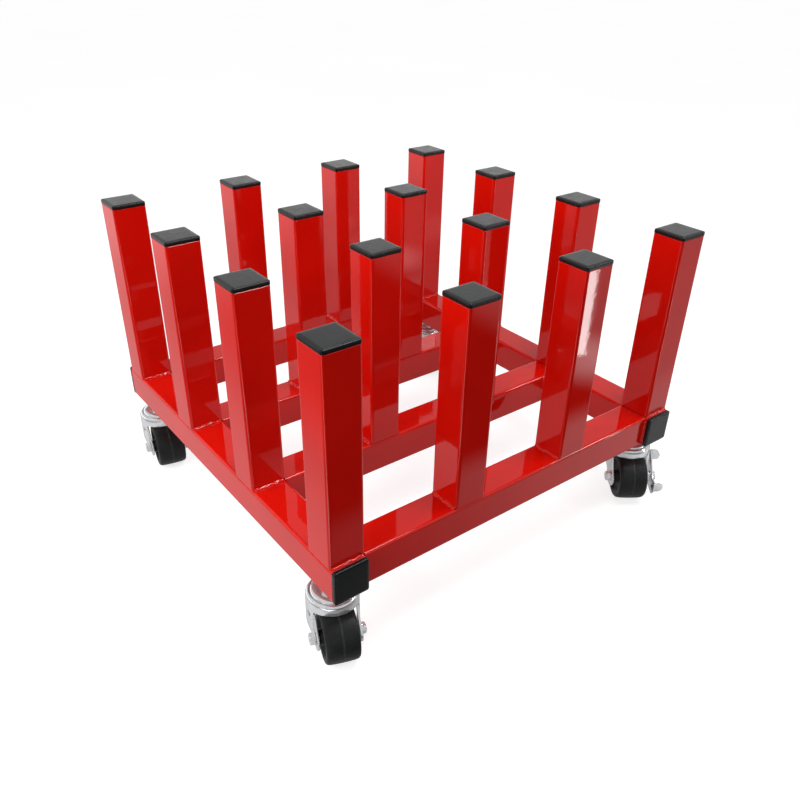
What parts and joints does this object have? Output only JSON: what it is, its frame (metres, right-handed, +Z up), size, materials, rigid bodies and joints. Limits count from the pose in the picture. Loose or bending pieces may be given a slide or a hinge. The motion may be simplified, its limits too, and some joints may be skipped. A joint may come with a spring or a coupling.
{
  "type": "wheeled post rack",
  "caption": "Low wheeled rack of square steel tube with upright capped posts on a welded base, on swivel casters.",
  "frame": {"origin": "on the floor under the middle of the overall box, with the wheels trailing as stored", "axes": "+Z up, X along the cross rails, +Y along the side rails from the front; the braked casters are on +X"},
  "size_m": [0.6777, 0.6714, 0.4547],
  "materials": {
    "red_paint": "glossy red enamel",
    "black_plastic": "satin moulded black",
    "zinc_plate": "bright zinc plate",
    "wheel_rubber": "hard black rubber, satin"
  },
  "bodies": {
    "base": {"side_rail_left": "red_paint", "side_rail_right": "red_paint", "cross_rail_1": "red_paint", "cross_rail_2": "red_paint", "cross_rail_3": "red_paint", "cross_rail_4": "red_paint", "post_1_1": "red_paint", "post_2_1": "red_paint", "post_3_1": "red_paint", "post_4_1": "red_paint", "post_1_2": "red_paint", "post_2_2": "red_paint", "post_3_2": "red_paint", "post_4_2": "red_paint", "post_1_3": "red_paint", "post_2_3": "red_paint", "post_3_3": "red_paint", "post_4_3": "red_paint", "post_1_4": "red_paint", "post_2_4": "red_paint", "post_3_4": "red_paint", "post_4_4": "red_paint", "post_cap_1_1": "black_plastic", "post_cap_2_1": "black_plastic", "post_cap_3_1": "black_plastic", "post_cap_4_1": "black_plastic", "post_cap_1_2": "black_plastic", "post_cap_2_2": "black_plastic", "post_cap_3_2": "black_plastic", "post_cap_4_2": "black_plastic", "post_cap_1_3": "black_plastic", "post_cap_2_3": "black_plastic", "post_cap_3_3": "black_plastic", "post_cap_4_3": "black_plastic", "post_cap_1_4": "black_plastic", "post_cap_2_4": "black_plastic", "post_cap_3_4": "black_plastic", "post_cap_4_4": "black_plastic", "rail_plug_front_left": "black_plastic", "rail_plug_front_right": "black_plastic", "rail_plug_back_left": "black_plastic", "rail_plug_back_right": "black_plastic", "caster_stem_front_left": "zinc_plate", "caster_stem_front_right": "zinc_plate", "caster_stem_back_left": "zinc_plate", "caster_stem_back_right": "zinc_plate"},
    "swivel_front_left": {"caster_fork_front_left": "zinc_plate", "caster_axle_front_left": "zinc_plate"},
    "wheel_front_left": {"caster_wheel_front_left": "wheel_rubber"},
    "swivel_front_right": {"caster_fork_front_right": "zinc_plate", "caster_axle_front_right": "zinc_plate"},
    "wheel_front_right": {"caster_wheel_front_right": "wheel_rubber"},
    "brake_front_right": {"brake_lever_front_right": "zinc_plate"},
    "swivel_back_left": {"caster_fork_back_left": "zinc_plate", "caster_axle_back_left": "zinc_plate"},
    "wheel_back_left": {"caster_wheel_back_left": "wheel_rubber"},
    "swivel_back_right": {"caster_fork_back_right": "zinc_plate", "caster_axle_back_right": "zinc_plate"},
    "wheel_back_right": {"caster_wheel_back_right": "wheel_rubber"},
    "brake_back_right": {"brake_lever_back_right": "zinc_plate"}
  },
  "joints": [
    {"name": "swivel_front_left", "type": "hinge", "parent": "base", "child": "swivel_front_left", "pos_m": [-0.29128, -0.25805, 0.0815], "axis": [0, 0, 1], "continuous": true},
    {"name": "roll_front_left", "type": "hinge", "parent": "swivel_front_left", "child": "wheel_front_left", "pos_m": [-0.30051, -0.28342, 0.0375], "axis": [0.9397, -0.342, 0], "continuous": true},
    {"name": "swivel_front_right", "type": "hinge", "parent": "base", "child": "swivel_front_right", "pos_m": [0.29928, -0.25805, 0.0815], "axis": [0, 0, 1], "continuous": true},
    {"name": "roll_front_right", "type": "hinge", "parent": "swivel_front_right", "child": "wheel_front_right", "pos_m": [0.28341, -0.27989, 0.0375], "axis": [0.809, -0.5878, 0], "continuous": true},
    {"name": "brake_front_right", "type": "hinge", "parent": "swivel_front_right", "child": "brake_front_right", "pos_m": [0.28341, -0.27989, 0.0375], "axis": [0.809, -0.5878, 0], "range_deg": [0, 18]},
    {"name": "swivel_back_left", "type": "hinge", "parent": "base", "child": "swivel_back_left", "pos_m": [-0.29128, 0.28805, 0.0815], "axis": [0, 0, 1], "continuous": true},
    {"name": "roll_back_left", "type": "hinge", "parent": "swivel_back_left", "child": "wheel_back_left", "pos_m": [-0.29643, 0.26155, 0.0375], "axis": [0.9816, -0.1908, 0], "continuous": true},
    {"name": "swivel_back_right", "type": "hinge", "parent": "base", "child": "swivel_back_right", "pos_m": [0.29928, 0.28805, 0.0815], "axis": [0, 0, 1], "continuous": true},
    {"name": "roll_back_right", "type": "hinge", "parent": "swivel_back_right", "child": "wheel_back_right", "pos_m": [0.2866, 0.26421, 0.0375], "axis": [0.8829, -0.4695, 0], "continuous": true},
    {"name": "brake_back_right", "type": "hinge", "parent": "swivel_back_right", "child": "brake_back_right", "pos_m": [0.2866, 0.26421, 0.0375], "axis": [0.8829, -0.4695, 0], "range_deg": [0, 18]}
  ]
}
